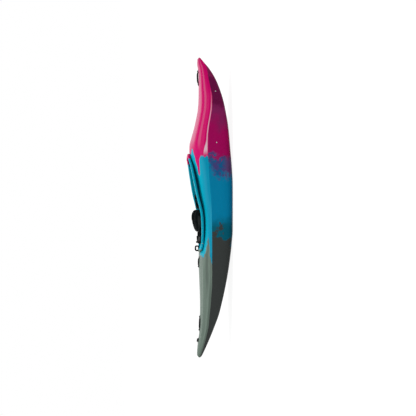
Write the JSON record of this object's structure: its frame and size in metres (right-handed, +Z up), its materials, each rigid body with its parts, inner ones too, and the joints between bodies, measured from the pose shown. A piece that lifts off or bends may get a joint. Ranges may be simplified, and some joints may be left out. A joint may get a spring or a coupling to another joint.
{
  "type": "whitewater kayak",
  "caption": "Short moulded river kayak with high rocker, rimmed cockpit, padded seat and backband, thigh and foot braces, grab handles, security bar and drain plug.",
  "frame": {"origin": "on the ground, under the middle of the boat's length and width", "axes": "+X to the bow, +Y to the left side, +Z up through the cockpit"},
  "size_m": [2.75, 0.66, 0.397],
  "materials": {
    "moulded_shell": "moulded polyethylene, magenta bow, cyan middle and sage grey stern that run into one another",
    "black_plastic": "fine grained black moulding",
    "seal_rubber": "matt",
    "foam": "closed cell foam",
    "padded_fabric": "woven cover over foam",
    "webbing": "flat woven strap",
    "steel": "plain stainless",
    "rail_aluminium": "anodised"
  },
  "bodies": {
    "boat": {"hull_shell": "moulded_shell", "deck_shell": "moulded_shell", "cockpit_coaming": "moulded_shell", "bow_handle": "black_plastic", "bow_handle_bolt_rear": "steel", "bow_handle_bolt_front": "steel", "stern_handle": "black_plastic", "stern_handle_bolt_rear": "steel", "stern_handle_bolt_front": "steel", "security_bar": "black_plastic", "security_bar_bolt_rear": "steel", "security_bar_bolt_front": "steel", "drain_seat": "black_plastic", "rear_pull_loop": "webbing", "bow_pillar": "foam", "stern_pillar": "foam", "seat_bolt_left": "steel", "seat_hanger_left": "black_plastic", "hanger_bolt_rear_left": "steel", "hanger_bolt_front_left": "steel", "ratchet_base_left": "black_plastic", "thigh_mount_left": "black_plastic", "thigh_bolt_left": "steel", "foot_rail_left": "rail_aluminium", "rail_bolt_rear_left": "steel", "rail_bolt_front_left": "steel", "seat_bolt_right": "steel", "seat_hanger_right": "black_plastic", "hanger_bolt_rear_right": "steel", "hanger_bolt_front_right": "steel", "ratchet_base_right": "black_plastic", "thigh_mount_right": "black_plastic", "thigh_bolt_right": "steel", "foot_rail_right": "rail_aluminium", "rail_bolt_rear_right": "steel", "rail_bolt_front_right": "steel"},
    "seat": {"seat_pan": "black_plastic", "seat_pad": "foam", "hip_pad_left": "padded_fabric", "hip_pad_right": "padded_fabric"},
    "backband": {"backband_pad": "padded_fabric", "backband_frame": "black_plastic", "backband_strap_left": "webbing", "backband_strap_right": "webbing"},
    "left_ratchet_lever": {"ratchet_lever_left": "black_plastic"},
    "right_ratchet_lever": {"ratchet_lever_right": "black_plastic"},
    "left_thigh_brace": {"thigh_brace_left": "black_plastic", "thigh_pad_left": "foam"},
    "right_thigh_brace": {"thigh_brace_right": "black_plastic", "thigh_pad_right": "foam"},
    "left_pedal": {"foot_pedal_left": "black_plastic"},
    "right_pedal": {"foot_pedal_right": "black_plastic"},
    "drain_seal_ring": {"drain_seal": "seal_rubber"},
    "drain_screw": {"drain_plug": "black_plastic"}
  },
  "joints": [
    {"name": "seat_slide", "type": "slide", "parent": "boat", "child": "seat", "axis": [1, 0, 0], "range_m": [-0.025, 0.025]},
    {"name": "backband_slide", "type": "slide", "parent": "boat", "child": "backband", "axis": [1, 0, 0], "range_m": [-0.01, 0.04]},
    {"name": "left_lever_swing", "type": "hinge", "parent": "boat", "child": "left_ratchet_lever", "pos_m": [-0.27513, 0.0955, 0.2848], "axis": [0, 0, 1], "range_deg": [0, 90]},
    {"name": "right_lever_swing", "type": "hinge", "parent": "boat", "child": "right_ratchet_lever", "pos_m": [-0.27513, -0.0955, 0.2848], "axis": [0, 0, -1], "range_deg": [0, 90]},
    {"name": "left_thigh_slide", "type": "slide", "parent": "boat", "child": "left_thigh_brace", "axis": [0.9945, 0, 0.1045], "range_m": [-0.02, 0.02]},
    {"name": "right_thigh_slide", "type": "slide", "parent": "boat", "child": "right_thigh_brace", "axis": [0.9945, 0, 0.1045], "range_m": [-0.02, 0.02]},
    {"name": "left_pedal_slide", "type": "slide", "parent": "boat", "child": "left_pedal", "axis": [0.9746, -0.224, 0], "range_m": [-0.15, 0.12]},
    {"name": "right_pedal_slide", "type": "slide", "parent": "boat", "child": "right_pedal", "axis": [0.9746, 0.224, 0], "range_m": [-0.15, 0.12]},
    {"name": "drain_lift", "type": "slide", "parent": "boat", "child": "drain_seal_ring", "axis": [0.1562, 0, 0.9877], "range_m": [0, 0.012]},
    {"name": "drain_turn", "type": "hinge", "parent": "drain_seal_ring", "child": "drain_screw", "pos_m": [-1.2155, 0, 0.29532], "axis": [0.1562, 0, 0.9877], "range_deg": [0, 1080]}
  ],
  "couplings": [
    {"joint": "drain_lift", "follows": "drain_turn", "m_per_rad": 0.000636}
  ]
}
